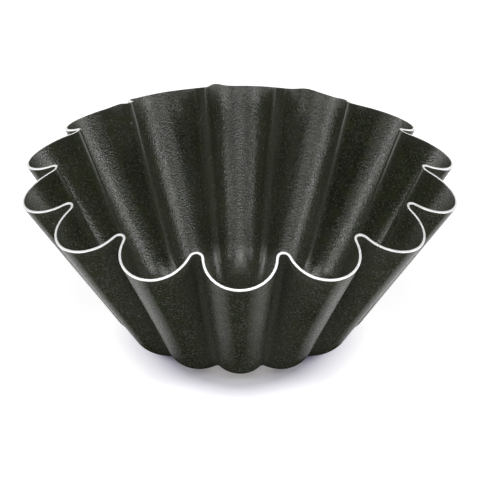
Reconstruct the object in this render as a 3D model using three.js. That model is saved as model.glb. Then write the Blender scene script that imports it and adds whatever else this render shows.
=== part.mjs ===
// Fluted tart tin: a flared mould with a flat floor and a ring of round lobes.
// It is pressed from one disc of steel sheet, with a release coat inside, another outside and a bare cut rim.
// Millimetres, +Z up. The origin is on the axis, at the underside of the floor, and one lobe faces -Y.
import * as THREE from "three";

// Press form, measured on the middle surface of the sheet.
const FLUTE_COUNT = 14;
const RIM_RADIUS = 39.8; // axis to the crest of a lobe, at the rim
const RIM_FLUTE_DEPTH = 6.6; // crest of a lobe to the ridge beside it, at the rim
const RIM_RIDGE_BEND = 1.2; // bend radius of a ridge, at the rim
const RIM_HEIGHT = 29.4; // floor to the rim, on the crest of a lobe
const RIM_RISE = 3.3; // how much higher the rim stands on a ridge than on a lobe
const FOOT_RADIUS = 20.4; // axis to where the crest of a lobe would meet the floor in a sharp corner
const FOOT_FLUTE_DEPTH = 1.5; // crest of a lobe to the ridge beside it, at that corner
const FOOT_RIDGE_BEND = 1.5; // bend radius of a ridge, at that corner
const CORNER_RADIUS = 9; // round between the floor and the wall

// Layers of the coated sheet.
const SHEET_THICKNESS = 0.45;
const INNER_COAT_THICKNESS = 0.03;
const OUTER_COAT_THICKNESS = 0.03;

// Facets.
const LOBE_STEPS = 8; // along the arc of one lobe
const RIDGE_STEPS = 4; // along the arc of one ridge
const CORNER_STEPS = 4; // up the round at the floor
const WALL_STEPS = 2; // up the straight wall
const DERIVATIVE_STEP = 1e-4; // in flutes and in rows, for the surface's tangents

// What follows from them.
const HALF_PITCH = Math.PI / FLUTE_COUNT;
const FRONT = -Math.PI / 2; // direction of the first lobe
const FLUTE_STEPS = LOBE_STEPS + RIDGE_STEPS;
const COLUMNS = FLUTE_COUNT * FLUTE_STEPS;
const ROWS = CORNER_STEPS + WALL_STEPS;
const FLOOR_HEIGHT = OUTER_COAT_THICKNESS + SHEET_THICKNESS / 2; // of the middle surface

// A scalloped outline of two arcs that run tangent into each other: a lobe that bulges away from the axis and
// a ridge that points towards it. The lobe's bend follows from its crest, the ridge and the ridge's bend.
function scallop(crestRadius, fluteDepth, ridgeBend) {
  const ridgeCentre = crestRadius - fluteDepth + ridgeBend;
  const across = ridgeCentre * Math.sin(HALF_PITCH);
  const back = crestRadius - ridgeCentre * Math.cos(HALF_PITCH);
  const lobeBend = (back ** 2 + across ** 2 - ridgeBend ** 2) / (2 * (back + ridgeBend));
  const lobeCentre = crestRadius - lobeBend;
  const sweep = Math.atan2(across, lobeBend - back); // half the angle that a lobe's arc turns through
  return { crestRadius, fluteDepth, ridgeCentre, ridgeBend, lobeCentre, lobeBend, sweep };
}

const rim = scallop(RIM_RADIUS, RIM_FLUTE_DEPTH, RIM_RIDGE_BEND);
const foot = scallop(FOOT_RADIUS, FOOT_FLUTE_DEPTH, FOOT_RIDGE_BEND);

// The point at an angle on a circle whose centre lies at a distance and a direction from the axis.
function onCircle(distance, direction, radius, angle) {
  const x = distance * Math.cos(direction) + radius * Math.cos(angle);
  const y = distance * Math.sin(direction) + radius * Math.sin(angle);
  return new THREE.Vector3(x, y, FLOOR_HEIGHT);
}

// A point on a scalloped outline. Turn counts flutes round the axis: each is a lobe's arc, then a ridge's.
function outlinePoint(outline, turn) {
  const flute = Math.floor(turn);
  const share = ((turn - flute) * FLUTE_STEPS) / LOBE_STEPS;
  const crest = FRONT + 2 * HALF_PITCH * flute;
  if (share <= 1) {
    const lobeAngle = crest + outline.sweep * (2 * share - 1);
    return onCircle(outline.lobeCentre, crest, outline.lobeBend, lobeAngle);
  }
  const ridge = crest + HALF_PITCH;
  const ridgeShare = ((share - 1) * LOBE_STEPS) / RIDGE_STEPS;
  const ridgeAngle = ridge + Math.PI + (outline.sweep - HALF_PITCH) * (1 - 2 * ridgeShare);
  return onCircle(outline.ridgeCentre, ridge, outline.ridgeBend, ridgeAngle);
}

// The middle surface. Row runs from 0, at the flat floor's edge, up the corner's round to ROWS, at the rim.
function formPoint(turn, row) {
  const corner = outlinePoint(foot, turn);
  const top = outlinePoint(rim, turn);
  const inset = rim.crestRadius - Math.hypot(top.x, top.y);
  top.z += RIM_HEIGHT + (RIM_RISE * inset) / rim.fluteDepth;

  const outward = new THREE.Vector3(corner.x, corner.y, 0).normalize();
  const upward = top.clone().sub(corner).normalize();
  const bend = outward.angleTo(upward);
  const tangentLength = CORNER_RADIUS * Math.tan(bend / 2);
  if (row >= CORNER_STEPS) {
    const wallEdge = corner.addScaledVector(upward, tangentLength);
    return wallEdge.lerp(top, (row - CORNER_STEPS) / WALL_STEPS);
  }
  const floorEdge = corner.addScaledVector(outward, -tangentLength);
  const square = upward.addScaledVector(outward, -upward.dot(outward)).normalize();
  const angle = (bend * row) / CORNER_STEPS;
  floorEdge.addScaledVector(outward, CORNER_RADIUS * Math.sin(angle));
  return floorEdge.addScaledVector(square, CORNER_RADIUS * (1 - Math.cos(angle)));
}

// The middle surface's unit normal, which points to the inside of the tin.
function formNormal(turn, row) {
  const above = Math.min(row + DERIVATIVE_STEP, ROWS);
  const below = Math.max(row - DERIVATIVE_STEP, 0);
  const climb = formPoint(turn, above).sub(formPoint(turn, below));
  const ahead = turn + DERIVATIVE_STEP;
  const behind = turn - DERIVATIVE_STEP;
  const round = formPoint(ahead, row).sub(formPoint(behind, row));
  return climb.cross(round).normalize();
}

// The form as the vertices of one skin, a depth from the middle surface towards the inside of the tin.
// The first vertex is the middle of the floor.
function skin(depth) {
  const points = [new THREE.Vector3(0, 0, FLOOR_HEIGHT + depth)];
  for (let row = 0; row <= ROWS; row++) {
    for (let column = 0; column < COLUMNS; column++) {
      const turn = column / FLUTE_STEPS;
      points.push(formPoint(turn, row).addScaledVector(formNormal(turn, row), depth));
    }
  }
  return points;
}

// One layer of the coated sheet: a closed shell between two skins, cut square to the wall at the rim.
function layerGeometry(outsideDepth, insideDepth) {
  const outside = skin(outsideDepth);
  const points = outside.concat(skin(insideDepth));
  const inside = outside.length;
  const at = (row, column) => 1 + row * COLUMNS + (column % COLUMNS);
  const triangles = [];
  const addFacet = (a, b, c) => triangles.push(a, b, c, inside + a, inside + c, inside + b);
  for (let column = 0; column < COLUMNS; column++) {
    addFacet(0, at(0, column + 1), at(0, column));
    for (let row = 0; row < ROWS; row++) {
      addFacet(at(row, column), at(row, column + 1), at(row + 1, column + 1));
      addFacet(at(row, column), at(row + 1, column + 1), at(row + 1, column));
    }
    const edge = at(ROWS, column);
    const nextEdge = at(ROWS, column + 1);
    triangles.push(edge, nextEdge, inside + nextEdge, edge, inside + nextEdge, inside + edge);
  }
  return new THREE.BufferGeometry().setFromPoints(points).setIndex(triangles);
}

function layer(name, outsideDepth, insideDepth, finish) {
  const geometry = layerGeometry(outsideDepth, insideDepth);
  geometry.computeVertexNormals();
  const mesh = new THREE.Mesh(geometry, new THREE.MeshStandardMaterial(finish));
  mesh.name = name;
  return mesh;
}

const bareSteel = { color: 0xd9dadb, roughness: 0.35, metalness: 1 };
const innerRelease = { color: 0x2c2e28, roughness: 0.48, metalness: 0 };
const outerRelease = { color: 0x2a2c26, roughness: 0.42, metalness: 0 };

const sheetOutside = -SHEET_THICKNESS / 2;
const sheetInside = SHEET_THICKNESS / 2;

const tin = new THREE.Group();
tin.name = "fluted_tart_tin";
tin.add(
  layer("pressed_sheet", sheetOutside, sheetInside, bareSteel),
  layer("inner_coat", sheetInside, sheetInside + INNER_COAT_THICKNESS, innerRelease),
  layer("outer_coat", sheetOutside - OUTER_COAT_THICKNESS, sheetOutside, outerRelease),
);

export default tin;
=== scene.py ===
"""Fluted tart tin: its coated sheet, seen on a white table in soft light.

Metres, +Z up, in the frame's axes.
"""

import math
from types import SimpleNamespace

import bpy
import numpy as np
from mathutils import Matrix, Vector


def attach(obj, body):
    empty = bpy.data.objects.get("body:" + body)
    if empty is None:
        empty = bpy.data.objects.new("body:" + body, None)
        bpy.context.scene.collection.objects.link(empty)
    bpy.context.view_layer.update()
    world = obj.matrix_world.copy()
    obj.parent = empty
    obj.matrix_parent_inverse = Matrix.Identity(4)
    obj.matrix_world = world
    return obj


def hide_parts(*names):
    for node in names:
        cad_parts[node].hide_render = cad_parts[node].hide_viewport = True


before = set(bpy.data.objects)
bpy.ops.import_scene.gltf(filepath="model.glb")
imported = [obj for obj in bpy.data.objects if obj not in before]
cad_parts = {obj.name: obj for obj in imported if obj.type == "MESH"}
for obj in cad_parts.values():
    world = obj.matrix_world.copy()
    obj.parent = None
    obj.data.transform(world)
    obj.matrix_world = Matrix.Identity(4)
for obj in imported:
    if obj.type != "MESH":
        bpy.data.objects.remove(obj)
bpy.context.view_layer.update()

MM = 0.001

# Press form, measured on the middle surface of the sheet
FLUTE_COUNT = 14
RIM_RADIUS = 39.8 * MM
RIM_FLUTE_DEPTH = 6.6 * MM
RIM_RIDGE_BEND = 1.2 * MM
RIM_HEIGHT = 29.4 * MM
RIM_RISE = 3.3 * MM
FOOT_RADIUS = 20.4 * MM
FOOT_FLUTE_DEPTH = 1.5 * MM
FOOT_RIDGE_BEND = 1.5 * MM
CORNER_RADIUS = 9 * MM

# Layers of the coated sheet, the round of its cut edge, and the least and most steel bare below it
SHEET_THICKNESS = 0.45 * MM
COAT_THICKNESS = 0.03 * MM
EDGE_ROUND = 0.07 * MM
INSIDE_BARE_EDGE = (0.01 * MM, 0.06 * MM)
OUTSIDE_BARE_EDGE = (0.12 * MM, 0.28 * MM)

# Hand of the press: slow waves in the wall
WAVE_HEIGHT = 0.05 * MM
WAVE_COUNT = 12
WAVES_ROUND = (3, 40)  # whole waves round the tin, from the first up to below the second
WAVES_UP = (0.2, 1.6)  # half waves for one unit of climb
SEED = 14

# Flaked border of the coats: waves round the tin, and the power by which the short ones are lower
FLAKE_WAVES = (5, 11, 23, 37, 61, 89, 113, 149)
FLAKE_FALL = 0.3

# Where the cut edge stands above or below its form: turn and height, then the width of each place in turns
RIM_TRIM = (
    (6.13, -0.3 * MM),
    (6.3, -0.25 * MM),
    (6.51, 0.42 * MM),
    (7.53, 0.5 * MM),
    (8.57, 0.25 * MM),
    (9.0, 0.28 * MM),
)
RIM_TRIM_WIDTH = 0.075

# Wear of the coats, with climb as in form_points
RIM_WEAR_REACH = 0.5 * MM
RIDGE_WEAR_WIDTH = 0.16  # in widths of a ridge
GROOVE_WEAR_WIDTH = 0.9  # in widths of a ridge
FOOT_WEAR_CLIMB = 0.1
FOOT_WEAR_WIDTH = 0.12  # in climb
DULL_CLIMB = (1.0, 1.4)
WIPED_CLIMB = 0.75
WIPED_WIDTH = 0.3  # in climb
WIPED_SHARE = 0.3
RUBBED_CLIMB = (0.8, 1.3)
FLANK_WIDTH = 0.95  # in widths of a ridge
FLANK_POWER = 4  # how sharply the flanks end

# Mesh
LOBE_STEPS = 22
RIDGE_STEPS = 10
CORNER_STEPS = 12
WALL_STEPS = 14
FLOOR_RINGS = 8
EDGE_STEPS = 4
SHOULDER = 0.04 * MM  # from the last row but one to the last, at the cut edge
DERIVATIVE_STEP = 1e-4

# Camera
EYE_DISTANCE = 637.5 * MM
EYE_ELEVATION = math.radians(27.71)
LOOK_LOWER = math.radians(0.94)
FOCAL_LENGTH_MM = 263.2
SENSOR_MM = 36
CLIP_START = 0.01
CLIP_END = 20

# Coats: colours are linear, lengths are the pitch or the height of each kind of grain
INSIDE_COAT = SimpleNamespace(
    dark=(0.0105, 0.0128, 0.0062),
    pale=(0.066, 0.07, 0.053),
    olive=(0.027, 0.032, 0.0115),
    worn=(0.034, 0.036, 0.028),
    roughness=0.2,
    specular=0.6,
    graze=None,
    rubbed_grain=0.1,
    fleck_pitch=0.33 * MM,
    fleck_span=(0.5, 0.68),
    fleck_share=0.75,
    peel_pitch=0.9 * MM,
    peel_height=0.02 * MM,
    grain_pitch=0.31 * MM,
    grain_height=0.12 * MM,
)
OUTSIDE_COAT = SimpleNamespace(
    dark=(0.012, 0.0145, 0.008),
    pale=(0.1, 0.105, 0.084),
    olive=(0.028, 0.033, 0.013),
    worn=(0.078, 0.08, 0.066),
    roughness=0.26,
    specular=0.0,
    graze=(0.565, 1.0),
    grazing_specular=0.4,
    rubbed_grain=None,
    fleck_pitch=0.34 * MM,
    fleck_span=(0.48, 0.66),
    fleck_share=0.8,
    peel_pitch=0.9 * MM,
    peel_height=0.02 * MM,
    grain_pitch=0.33 * MM,
    grain_height=0.12 * MM,
)
MOTTLE_PITCH = 14 * MM
TINT_PITCH = 1.8 * MM
ROLLING_PITCH = 0.16 * MM
ROLLING_LENGTH = 7 * MM
ROLLING_HEIGHT = 0.004 * MM
# Small bright spots in the coats' colour: pale specks of the film, and painted glints in the highlights
SPECK_PITCH = 2.6 * MM
SPECK_RADIUS = 0.12 * MM
SPECK_AND_GLINT_COLOUR = (0.3, 0.3, 0.29)
SPECK_SHARE = 0.24
ROUGHNESS_SWING = 0.06
NOISE_CORE = (0.35, 0.65)  # where most values of a noise lie
WORN_LEAST = 0.3  # share of the wear that is left between its patches
TINT_SPAN = (0.45, 0.7)
TINT_SHARE = 0.6
FACING_BLEND = 0.5

# Bare steel of the cut edge, dull to bright
STEEL_COLOURS = ((0.9, 0.9, 0.9), (0.98, 0.98, 0.98))
STEEL_ROUGHNESS = (0.6, 0.45)
SHEAR_MARK_PITCH = 0.2 * MM
SHEAR_MARK_HEIGHT = 0.008 * MM
SHEAR_MARK_SPAN = (0.3, 0.7)

# Table: its own colour, and the glow that lifts it to white in the picture, by distance from the axis; the
# glow is weaker round the foot, which paints a violet-grey shadow there
TABLE_COLOUR = (0.8, 0.8, 0.8)
TABLE_SIZE = 12.0
TABLE_DROP = 0.02 * MM
LIFT_START = 14 * MM
LIFT_END = 114 * MM
LIFT_ACROSS = 1.3
LIFT_FORWARD = 4 * MM
# The dim, violet-tinted steps near the start are a painted shadow round the tin's foot
LIFT_AND_SHADOW_STEPS = (  # share of the way from start to end, and the light there
    (0.0, (0.28, 0.27, 0.27)),
    (0.04, (0.06, 0.055, 0.09)),
    (0.06, (0.21, 0.2, 0.26)),
    (0.087, (0.42, 0.41, 0.46)),
    (0.13, (0.62, 0.61, 0.64)),
    (0.17, (0.76, 0.76, 0.76)),
    (0.4, (0.64, 0.64, 0.64)),
    (1.0, (0.36, 0.36, 0.36)),
)

# Lamps: azimuth from the camera's side, elevation, width and height in degrees, radiance
LAMP_DISTANCE = 1.0
LAMPS = (
    ("left_box", -72, 34, 36, 24, 4.7),
    ("right_box", 72, 34, 36, 24, 4.7),
    ("left_low", -93, 8, 32, 14, 1.2),
    ("right_low", 93, 8, 32, 14, 1.2),
    ("front_box", 0, 49, 48, 24, 2.3),
    ("front_top", 0, 67, 18, 16, 7.0),
    ("overhead", 0, 90, 40, 36, 1.6),
)
AMBIENT = 0.03

# Backdrop in reflections: where it fades in by the direction's Y, and out by its Z
BACKDROP_TURN = (-0.25, 0.15)
BACKDROP_RISE = (0.4, 0.7)

# What follows from them
HALF_PITCH = math.pi / FLUTE_COUNT
FRONT = -math.pi / 2
FLUTE_STEPS = LOBE_STEPS + RIDGE_STEPS
LOBE_SHARE = LOBE_STEPS / FLUTE_STEPS
COLUMNS = FLUTE_COUNT * FLUTE_STEPS
FLOOR_HEIGHT = COAT_THICKNESS + SHEET_THICKNESS / 2
TURNS = np.arange(COLUMNS) / FLUTE_STEPS

rng = np.random.default_rng(SEED)


def scallop(crest_radius, flute_depth, ridge_bend):
    """A closed outline of lobes and ridges, two arcs that run tangent into each other."""
    ridge_centre = crest_radius - flute_depth + ridge_bend
    across = ridge_centre * math.sin(HALF_PITCH)
    back = crest_radius - ridge_centre * math.cos(HALF_PITCH)
    lobe_bend = (back**2 + across**2 - ridge_bend**2) / (2 * (back + ridge_bend))
    return SimpleNamespace(
        crest_radius=crest_radius,
        flute_depth=flute_depth,
        ridge_centre=ridge_centre,
        ridge_bend=ridge_bend,
        lobe_centre=crest_radius - lobe_bend,
        lobe_bend=lobe_bend,
        sweep=math.atan2(across, lobe_bend - back),
    )


RIM = scallop(RIM_RADIUS, RIM_FLUTE_DEPTH, RIM_RIDGE_BEND)
FOOT = scallop(FOOT_RADIUS, FOOT_FLUTE_DEPTH, FOOT_RIDGE_BEND)


def outline_points(outline, turn):
    """Points of a scalloped outline at the floor's height.

    Turn counts flutes, each a lobe's arc and then a ridge's.
    """
    flute = np.floor(turn)
    share = (turn - flute) / LOBE_SHARE
    on_lobe = share <= 1
    crest = FRONT + 2 * HALF_PITCH * flute
    lobe_angle = crest + outline.sweep * (2 * share - 1)
    ridge_share = (share - 1) * LOBE_SHARE / (1 - LOBE_SHARE)
    ridge_angle = crest + HALF_PITCH + math.pi + (outline.sweep - HALF_PITCH) * (1 - 2 * ridge_share)
    direction = np.where(on_lobe, crest, crest + HALF_PITCH)
    distance = np.where(on_lobe, outline.lobe_centre, outline.ridge_centre)
    bend = np.where(on_lobe, outline.lobe_bend, outline.ridge_bend)
    angle = np.where(on_lobe, lobe_angle, ridge_angle)
    x = distance * np.cos(direction) + bend * np.cos(angle)
    y = distance * np.sin(direction) + bend * np.sin(angle)
    return np.stack([x, y, np.full_like(x, FLOOR_HEIGHT)], -1)


def unit(vectors):
    return vectors / np.linalg.norm(vectors, axis=-1, keepdims=True)


def trim(turn):
    """How far the cut edge stands off its form, up the wall: the tin wasn't trimmed quite evenly."""
    return sum(height * np.exp(-(((turn - place) / RIM_TRIM_WIDTH) ** 2)) for place, height in RIM_TRIM)


def generator(turn):
    """The straight line of the wall at each turn: foot corner, directions, bend at the floor and lengths."""
    corner = outline_points(FOOT, turn)
    top = outline_points(RIM, turn)
    inset = RIM.crest_radius - np.hypot(top[..., 0], top[..., 1])
    top[..., 2] += RIM_HEIGHT + RIM_RISE * inset / RIM.flute_depth
    outward = unit(corner * (1, 1, 0))
    upward = unit(top - corner)
    bend = np.arccos((outward * upward).sum(-1))
    tangent = CORNER_RADIUS * np.tan(bend / 2)
    wall_length = np.linalg.norm(top - corner, axis=-1) - tangent + trim(turn)
    return SimpleNamespace(
        corner=corner, outward=outward, upward=upward, bend=bend, tangent=tangent, wall_length=wall_length
    )


def form_points(turn, climb):
    """The middle surface.

    Climb is 0 at the edge of the flat floor, 1 at the foot of the wall and 2 at the rim.
    """
    line = generator(turn)
    angle = (line.bend * np.minimum(climb, 1))[..., None]
    square = unit(line.upward - line.outward * (line.outward * line.upward).sum(-1, keepdims=True))
    round_start = line.corner - line.outward * line.tangent[..., None]
    around = CORNER_RADIUS * (line.outward * np.sin(angle) + square * (1 - np.cos(angle)))
    along = line.wall_length * np.maximum(climb - 1, 0)
    return round_start + around + line.upward * along[..., None]


def form_normals(turn, climb):
    """Unit normals of the middle surface, towards the inside of the tin."""
    above = form_points(turn, np.minimum(climb + DERIVATIVE_STEP, 2))
    below = form_points(turn, np.maximum(climb - DERIVATIVE_STEP, 0))
    ahead = form_points(turn + DERIVATIVE_STEP, climb)
    behind = form_points(turn - DERIVATIVE_STEP, climb)
    return unit(np.cross(above - below, ahead - behind))


def wave_terms():
    """Slow waves of the wall: whole waves round the tin, half waves up it, and phases."""
    terms = []
    for _ in range(WAVE_COUNT):
        round_waves = int(rng.integers(*WAVES_ROUND))
        climb_waves = float(rng.uniform(*WAVES_UP))
        phase = float(rng.uniform(0, 2 * math.pi))
        terms.append((round_waves, climb_waves, phase))
    return terms


WAVES = wave_terms()


def waves(turn, climb):
    """How far the pressed wall stands off its form, none at the floor."""
    offset = np.zeros(np.broadcast(turn, climb).shape)
    height = WAVE_HEIGHT / math.sqrt(WAVE_COUNT)
    for round_waves, climb_waves, phase in WAVES:
        angle = 2 * math.pi * round_waves * turn / FLUTE_COUNT
        offset += height * np.sin(angle + math.pi * climb_waves * climb + phase)
    return offset * np.clip(climb, 0, 1) ** 2


def bare_edge(least, most):
    """How far a coat stops short of the cut edge at each column: it flakes a little, unevenly."""
    flaked = np.zeros(COLUMNS)
    for round_waves in FLAKE_WAVES:
        phase = rng.uniform(0, 2 * math.pi)
        flaked += np.sin(2 * math.pi * round_waves * TURNS / FLUTE_COUNT + phase) / round_waves**FLAKE_FALL
    flaked = (flaked - flaked.min()) / np.ptp(flaked)
    return least + (most - least) * flaked**2


def rim_wear(climb):
    """1 at the cut edge, fading down the wall."""
    below_rim = generator(TURNS).wall_length * np.where(climb > 1, 2 - climb, 1)
    return np.exp(-below_rim / RIM_WEAR_REACH)


def along_ridges(climb, width, power=2):
    """1 along the middle of each ridge, on the wall, fading to its sides."""
    ridge_share = 1 - LOBE_SHARE
    off_ridge = (TURNS % 1 - (1 + LOBE_SHARE) / 2) / ridge_share
    off_ridge = np.where(off_ridge < -0.5 / ridge_share, off_ridge + 1 / ridge_share, off_ridge)
    return np.exp(-((off_ridge / width) ** power)) * np.clip(climb, 0, 1)


def ridge_wear(climb):
    """The ridges inside, which bakes rub as they are turned out."""
    return along_ridges(climb, RIDGE_WEAR_WIDTH)


def groove_wear(climb):
    """The grooves outside, where washing leaves a pale film."""
    return along_ridges(climb, GROOVE_WEAR_WIDTH)


def foot_wear(climb):
    """1 round the foot, where the tin slides on shelves and trays."""
    return np.exp(-(((climb - FOOT_WEAR_CLIMB) / FOOT_WEAR_WIDTH) ** 2))


def inside_wear(climb):
    return np.maximum(rim_wear(climb), ridge_wear(climb))


def inside_rub(climb):
    """The ridges, their flanks and the round at the floor, which cleaning has smoothed."""
    wiped = WIPED_SHARE * np.exp(-(((climb - WIPED_CLIMB) / WIPED_WIDTH) ** 2))
    flanks = along_ridges(climb, FLANK_WIDTH, FLANK_POWER) * np.interp(climb, RUBBED_CLIMB, (0, 1))
    return np.maximum(flanks, wiped)


def outside_wear(climb):
    return np.maximum.reduce([rim_wear(climb), foot_wear(climb), groove_wear(climb)])


def foot_dullness(climb):
    """1 round the foot, where burnt-on fat has dulled the coat, fading up the wall."""
    return np.interp(climb, DULL_CLIMB, (1, 0))


def surface_row(climb, depth):
    """One row of vertices round the tin, with how far each lay from the middle of the flat disc."""
    line = generator(TURNS)
    offset = depth + waves(TURNS, climb)
    points = form_points(TURNS, climb) + form_normals(TURNS, climb) * offset[:, None]
    floor_radius = np.linalg.norm(line.corner[:, :2], axis=1) - line.tangent
    on_round = CORNER_RADIUS * line.bend * np.minimum(climb, 1)
    on_wall = line.wall_length * np.maximum(climb - 1, 0)
    return SimpleNamespace(points=points, radius=floor_radius + on_round + on_wall, climb=climb)


def floor_row(share, depth):
    """One ring of vertices on the flat floor, at a share of the way to the edge of the floor."""
    row = surface_row(np.zeros(COLUMNS), 0.0)
    row.points[:, :2] *= share
    row.points[:, 2] = FLOOR_HEIGHT + depth
    return SimpleNamespace(points=row.points, radius=row.radius * share, climb=row.climb + share - 1)


def skin_rows(depth, drop):
    """Rows of one skin, from the middle of the floor to a drop below the cut edge."""
    wall_length = generator(TURNS).wall_length
    rows = [floor_row(ring / FLOOR_RINGS, depth) for ring in range(1, FLOOR_RINGS)]
    for step in range(CORNER_STEPS):
        rows.append(surface_row(np.full(COLUMNS, step / CORNER_STEPS), depth))
    shoulder = 1 - (drop + SHOULDER) / wall_length
    for step in range(WALL_STEPS + 1):
        rows.append(surface_row(1 + shoulder * step / WALL_STEPS, depth))
    rows.append(surface_row(2 - drop / wall_length, depth))
    return rows


def edge_rows(outside_depth, inside_depth):
    """Rows across the cut edge of the sheet, with its two corners rounded."""
    wall_length = generator(TURNS).wall_length
    profile = []
    for angle in np.linspace(0, math.pi / 2, EDGE_STEPS + 1)[1:]:
        depth = outside_depth + EDGE_ROUND * (1 - math.cos(angle))
        profile.append((depth, EDGE_ROUND * (1 - math.sin(angle))))
    mirrored = [(inside_depth + outside_depth - depth, drop) for depth, drop in reversed(profile)]
    return [surface_row(2 - drop / wall_length, depth) for depth, drop in profile + mirrored]


def closed_mesh(name, rows, outside_depth, inside_depth, **fields):
    """A mesh from rows that run from the middle of the underside, over the rim, to the inside's middle."""
    points = np.concatenate([row.points for row in rows])
    middles = np.array([[0, 0, FLOOR_HEIGHT + outside_depth], [0, 0, FLOOR_HEIGHT + inside_depth]])
    first_middle = len(points)
    column = np.arange(COLUMNS)
    ahead = (column + 1) % COLUMNS
    faces = []
    for row in range(len(rows) - 1):
        here = row * COLUMNS
        above = here + COLUMNS
        faces += np.stack([here + column, here + ahead, above + ahead, above + column], 1).tolist()
    last = (len(rows) - 1) * COLUMNS
    faces += np.stack([np.full(COLUMNS, first_middle), ahead, column], 1).tolist()
    faces += np.stack([np.full(COLUMNS, first_middle + 1), last + column, last + ahead], 1).tolist()
    mesh = bpy.data.meshes.new(name)
    mesh.from_pydata(np.concatenate([points, middles]).tolist(), [], faces)
    mesh.polygons.foreach_set("use_smooth", np.ones(len(faces), bool))
    add_blank_map(mesh, rows)
    for field, strength in fields.items():
        values = np.concatenate([strength(row.climb) for row in rows] + [[0, 0]]).astype(np.float32)
        mesh.attributes.new(field, "FLOAT", "POINT").data.foreach_set("value", values)
    mesh.validate()
    return mesh


def add_blank_map(mesh, rows):
    """A UV map of where each vertex lay on the flat disc, in metres from its middle."""
    angle = FRONT + 2 * HALF_PITCH * TURNS
    place = [row.radius[:, None] * np.stack([np.cos(angle), np.sin(angle)], 1) for row in rows]
    place = np.concatenate(place + [np.zeros((2, 2))])
    corners = np.zeros(len(mesh.loops), np.int32)
    mesh.loops.foreach_get("vertex_index", corners)
    layer = mesh.uv_layers.new(name="blank")
    layer.uv.foreach_set("vector", place[corners].astype(np.float32).ravel())


def add_piece(name, mesh, material, node):
    piece = bpy.data.objects.new(name, mesh)
    bpy.context.scene.collection.objects.link(piece)
    mesh.materials.append(material)
    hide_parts(node)
    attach(piece, "root")


class Shading:
    """A material's nodes, made one call each. Inputs are values, or the sockets that feed them."""

    MIX_FACTOR, MIX_A, MIX_B, MIX_RESULT = 0, 6, 7, 2

    def __init__(self, name, kind="materials", shader="Principled BSDF"):
        self.material = getattr(bpy.data, kind).new(name)
        self.material.use_nodes = True
        self.tree = self.material.node_tree
        self.shader = self.tree.nodes[shader]

    @classmethod
    def of_world(cls, name):
        return cls(name, "worlds", "Background")

    def feed(self, socket, value):
        if isinstance(value, bpy.types.NodeSocket):
            self.tree.links.new(value, socket)
        else:
            socket.default_value = value

    def node(self, kind, inputs=(), **settings):
        made = self.tree.nodes.new(kind)
        for name, value in settings.items():
            setattr(made, name, value)
        for name, value in dict(inputs).items():
            self.feed(made.inputs[name], value)
        return made

    def set(self, **values):
        for name, value in values.items():
            self.feed(self.shader.inputs[name.replace("_", " ")], value)

    def object_place(self):
        return self.node("ShaderNodeTexCoord").outputs["Object"]

    def sky_direction(self):
        return self.node("ShaderNodeTexCoord").outputs["Generated"]

    def blank_place(self, pitch_x, pitch_y):
        """Place on the flat disc, in pitches."""
        flat = self.node("ShaderNodeUVMap", uv_map="blank").outputs["UV"]
        scale = (1 / pitch_x, 1 / pitch_y, 1)
        return self.node("ShaderNodeMapping", {"Vector": flat, "Scale": scale}).outputs["Vector"]

    def field(self, name):
        return self.node("ShaderNodeAttribute", attribute_name=name).outputs["Fac"]

    def noise(self, place, pitch, detail):
        inputs = {"Vector": place, "Scale": 1 / pitch, "Detail": detail}
        return self.node("ShaderNodeTexNoise", inputs).outputs["Fac"]

    def math(self, operation, first, second):
        return self.node("ShaderNodeMath", {0: first, 1: second}, operation=operation).outputs[0]

    def span(self, value, low, high, to_low, to_high):
        inputs = {"Value": value, "From Min": low, "From Max": high, "To Min": to_low, "To Max": to_high}
        return self.node("ShaderNodeMapRange", inputs).outputs["Result"]

    def mix(self, factor, first, second):
        """A colour between two, each a triple or a socket."""
        made = self.node("ShaderNodeMix", data_type="RGBA")
        self.feed(made.inputs[self.MIX_FACTOR], factor)
        for index, colour in ((self.MIX_A, first), (self.MIX_B, second)):
            self.feed(made.inputs[index], (*colour, 1) if isinstance(colour, tuple) else colour)
        return made.outputs[self.MIX_RESULT]

    def bump(self, height, distance, under=None, strength=1):
        inputs = {"Height": height, "Distance": distance, "Strength": strength}
        if under is not None:
            inputs["Normal"] = under
        return self.node("ShaderNodeBump", inputs).outputs["Normal"]


def specks_and_glints(shading, place):
    """1 on a few small bright spots, pale specks of the film and painted glints, 0 elsewhere."""
    cells = shading.node("ShaderNodeTexVoronoi", {"Vector": place, "Scale": 1 / SPECK_PITCH}).outputs
    near = shading.math("LESS_THAN", cells["Distance"], SPECK_RADIUS / SPECK_PITCH)
    chance = shading.node("ShaderNodeSeparateColor", {"Color": cells["Color"]}).outputs["Red"]
    return shading.math("MULTIPLY", near, shading.math("LESS_THAN", chance, SPECK_SHARE))


def coat_colour(shading, coat, place, grain):
    """Dark film with pale clouds and flecks, an olive tint in places, worn patches, and small bright specks
    that are partly painted glints.
    """
    mottle = shading.noise(place, MOTTLE_PITCH, detail=4)
    clouds = shading.span(mottle, *NOISE_CORE, 0, 1 - coat.fleck_share)
    flecks = shading.noise(place, coat.fleck_pitch, detail=2)
    flecks = shading.span(flecks, *coat.fleck_span, 0, coat.fleck_share)
    tint = shading.noise(place, TINT_PITCH, detail=1)
    patches = shading.span(grain, *NOISE_CORE, WORN_LEAST, 1)
    worn = shading.math("MULTIPLY", shading.field("wear"), patches)
    colour = shading.mix(shading.math("ADD", clouds, flecks), coat.dark, coat.pale)
    colour = shading.mix(shading.span(tint, *TINT_SPAN, 0, TINT_SHARE), colour, coat.olive)
    colour = shading.mix(worn, colour, coat.worn)
    # Small bright specks, partly pale flecks of the film and partly painted glints
    return shading.mix(specks_and_glints(shading, place), colour, SPECK_AND_GLINT_COLOUR)


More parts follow.
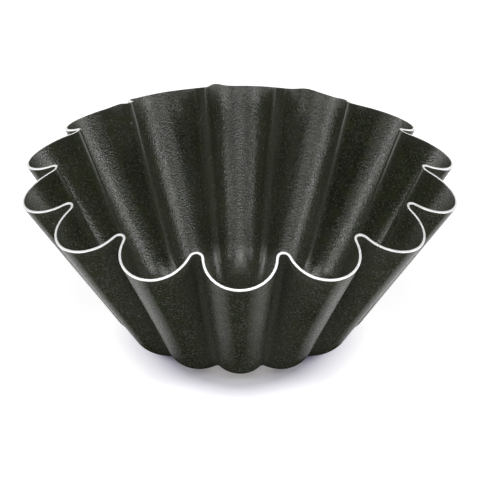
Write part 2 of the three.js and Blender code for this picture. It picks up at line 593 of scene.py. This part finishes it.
def coat_normal(shading, coat, place, grain):
    """The sheet's rolling marks, the film's peel and its grain, which rubbing has levelled in places."""
    rolled = shading.noise(shading.blank_place(ROLLING_LENGTH, ROLLING_PITCH), pitch=1, detail=2)
    peel = shading.noise(place, coat.peel_pitch, detail=1)
    normal = shading.bump(rolled, ROLLING_HEIGHT)
    normal = shading.bump(peel, coat.peel_height, normal)
    strength = 1
    if coat.rubbed_grain is not None:
        strength = shading.span(shading.field("rubbed"), 0, 1, 1, coat.rubbed_grain)
    return shading.bump(grain, coat.grain_height, normal, strength)


def coat_gloss(shading, coat):
    """One gloss all over, or one that grows towards a grazing view and is lost where the coat is dull."""
    if coat.graze is None:
        return coat.specular
    facing = shading.node("ShaderNodeLayerWeight", {"Blend": FACING_BLEND}).outputs["Facing"]
    gloss = shading.span(facing, *coat.graze, coat.specular, coat.grazing_specular)
    return shading.math("MULTIPLY", gloss, shading.span(shading.field("dull"), 0, 1, 1, 0))


def coat_material(name, coat):
    """A sprayed release film on rolled sheet: mottled, peeled and grained, paler where it is worn."""
    shading = Shading(name)
    place = shading.object_place()
    grain = shading.noise(place, coat.grain_pitch, detail=2)
    smooth = coat.roughness - ROUGHNESS_SWING
    rough = coat.roughness + ROUGHNESS_SWING
    shading.set(
        Base_Color=coat_colour(shading, coat, place, grain),
        Roughness=shading.span(grain, *NOISE_CORE, rough, smooth),
        Specular_IOR_Level=coat_gloss(shading, coat),
        Normal=coat_normal(shading, coat, place, grain),
    )
    return shading.material


def steel_material():
    """Bare steel, with shear marks across the cut edge."""
    shading = Shading("bare_edge_steel")
    marks = shading.noise(shading.blank_place(SHEAR_MARK_PITCH, SHEAR_MARK_PITCH), pitch=1, detail=3)
    colour = shading.mix(shading.span(marks, *SHEAR_MARK_SPAN, 0, 1), *STEEL_COLOURS)
    roughness = shading.span(marks, *SHEAR_MARK_SPAN, *STEEL_ROUGHNESS)
    normal = shading.bump(marks, SHEAR_MARK_HEIGHT)
    shading.set(Base_Color=colour, Metallic=1.0, Roughness=roughness, Normal=normal)
    return shading.material


def make_tin():
    sheet_outside = -SHEET_THICKNESS / 2
    sheet_inside = SHEET_THICKNESS / 2
    coat_outside = sheet_outside - COAT_THICKNESS
    coat_inside = sheet_inside + COAT_THICKNESS
    inner_edge = bare_edge(*INSIDE_BARE_EDGE)
    outer_edge = bare_edge(*OUTSIDE_BARE_EDGE)

    rows = skin_rows(sheet_outside, EDGE_ROUND) + edge_rows(sheet_outside, sheet_inside)
    rows += skin_rows(sheet_inside, EDGE_ROUND)[::-1]
    sheet = closed_mesh("sheet", rows, sheet_outside, sheet_inside)
    add_piece("bare_sheet", sheet, steel_material(), "pressed_sheet")

    rows = skin_rows(sheet_inside, inner_edge) + skin_rows(coat_inside, inner_edge)[::-1]
    inner = closed_mesh("inner", rows, sheet_inside, coat_inside, wear=inside_wear, rubbed=inside_rub)
    film = coat_material("inside_coat_film", INSIDE_COAT)
    add_piece("inside_coat", inner, film, "inner_coat")

    rows = skin_rows(coat_outside, outer_edge) + skin_rows(sheet_outside, outer_edge)[::-1]
    outer = closed_mesh("outer", rows, coat_outside, sheet_outside, wear=outside_wear, dull=foot_dullness)
    film = coat_material("outside_coat_film", OUTSIDE_COAT)
    add_piece("outside_coat", outer, film, "outer_coat")


def table_material():
    """Matt white, lifted by a glow to plain white in the picture and in reflections; the glow is weaker
    round the tin's foot, so the shadow there is partly painted, with a violet tint.
    """
    shading = Shading("white_table")
    mapped = {
        "Vector": shading.object_place(),
        "Location": (0, LIFT_FORWARD, 0),
        "Scale": (LIFT_ACROSS, 1, 1),
    }
    place = shading.node("ShaderNodeMapping", mapped).outputs["Vector"]
    distance = shading.node("ShaderNodeVectorMath", {0: place}, operation="LENGTH").outputs["Value"]
    # Glow by distance from the tin: its dim steps near the foot are a painted shadow
    ramp = shading.node("ShaderNodeValToRGB", {"Fac": shading.span(distance, LIFT_START, LIFT_END, 0, 1)})
    stops = ramp.color_ramp.elements
    while len(stops) < len(LIFT_AND_SHADOW_STEPS):
        stops.new(1)
    for stop, (position, colour) in zip(stops, LIFT_AND_SHADOW_STEPS):
        stop.position = position
        stop.color = (*colour, 1)
    rays = shading.node("ShaderNodeLightPath").outputs
    seen = shading.math("MAXIMUM", rays["Is Camera Ray"], rays["Is Glossy Ray"])
    seen = shading.math("MAXIMUM", seen, rays["Is Transmission Ray"])
    shading.set(Base_Color=(*TABLE_COLOUR, 1), Roughness=1.0, Specular_IOR_Level=0.0)
    shading.set(Emission_Color=ramp.outputs["Color"], Emission_Strength=seen)
    return shading.material


def make_table():
    half = TABLE_SIZE / 2
    mesh = bpy.data.meshes.new("table")
    corners = [(-half, -half, 0), (half, -half, 0), (half, half, 0), (-half, half, 0)]
    mesh.from_pydata(corners, [], [(0, 1, 2, 3)])
    mesh.materials.append(table_material())
    table = bpy.data.objects.new("table", mesh)
    table.location.z = -TABLE_DROP
    bpy.context.scene.collection.objects.link(table)


def make_camera():
    data = bpy.data.cameras.new("camera")
    data.lens = FOCAL_LENGTH_MM
    data.sensor_width = SENSOR_MM
    data.clip_start = CLIP_START
    data.clip_end = CLIP_END
    camera = bpy.data.objects.new("camera", data)
    bpy.context.scene.collection.objects.link(camera)
    rim_level = FLOOR_HEIGHT + RIM_HEIGHT
    back = EYE_DISTANCE * math.cos(EYE_ELEVATION)
    camera.location = (0, -back, rim_level + EYE_DISTANCE * math.sin(EYE_ELEVATION))
    camera.rotation_euler = (math.pi / 2 - EYE_ELEVATION - LOOK_LOWER, 0, 0)
    bpy.context.scene.camera = camera


def soft_box(name, azimuth, elevation, width, height, radiance):
    """An elliptical soft lamp that faces the tin, given by the angles that it fills."""
    turn = math.radians(azimuth)
    rise = math.radians(elevation)
    data = bpy.data.lights.new(name, "AREA")
    data.shape = "ELLIPSE"
    data.size = 2 * LAMP_DISTANCE * math.tan(math.radians(width) / 2)
    data.size_y = 2 * LAMP_DISTANCE * math.tan(math.radians(height) / 2)
    data.energy = radiance * math.pi * data.size * data.size_y
    lamp = bpy.data.objects.new(name, data)
    bpy.context.scene.collection.objects.link(lamp)
    flat = math.cos(rise)
    direction = Vector((math.sin(turn) * flat, -math.cos(turn) * flat, math.sin(rise)))
    lamp.location = direction * LAMP_DISTANCE
    lamp.rotation_euler = direction.to_track_quat("Z", "Y").to_euler()
    lamp.visible_camera = False


def make_world():
    """A dim room with a white backdrop, seen in the picture and low behind the tin in reflections."""
    shading = Shading.of_world("studio")
    across = shading.node("ShaderNodeSeparateXYZ", {"Vector": shading.sky_direction()}).outputs
    behind = shading.span(across["Y"], *BACKDROP_TURN, 0, 1)
    low = shading.span(across["Z"], *BACKDROP_RISE, 1, 0)
    rays = shading.node("ShaderNodeLightPath").outputs
    mirrored = shading.math("MULTIPLY", rays["Is Glossy Ray"], shading.math("MULTIPLY", behind, low))
    seen = shading.math("MAXIMUM", rays["Is Camera Ray"], rays["Is Transmission Ray"])
    seen = shading.math("MAXIMUM", seen, mirrored)
    shading.set(Color=(1, 1, 1, 1), Strength=shading.math("MAXIMUM", seen, AMBIENT))
    bpy.context.scene.world = shading.material


make_tin()
make_table()
make_camera()
make_world()
for lamp in LAMPS:
    soft_box(*lamp)
bpy.context.scene.view_settings.view_transform = "Standard"
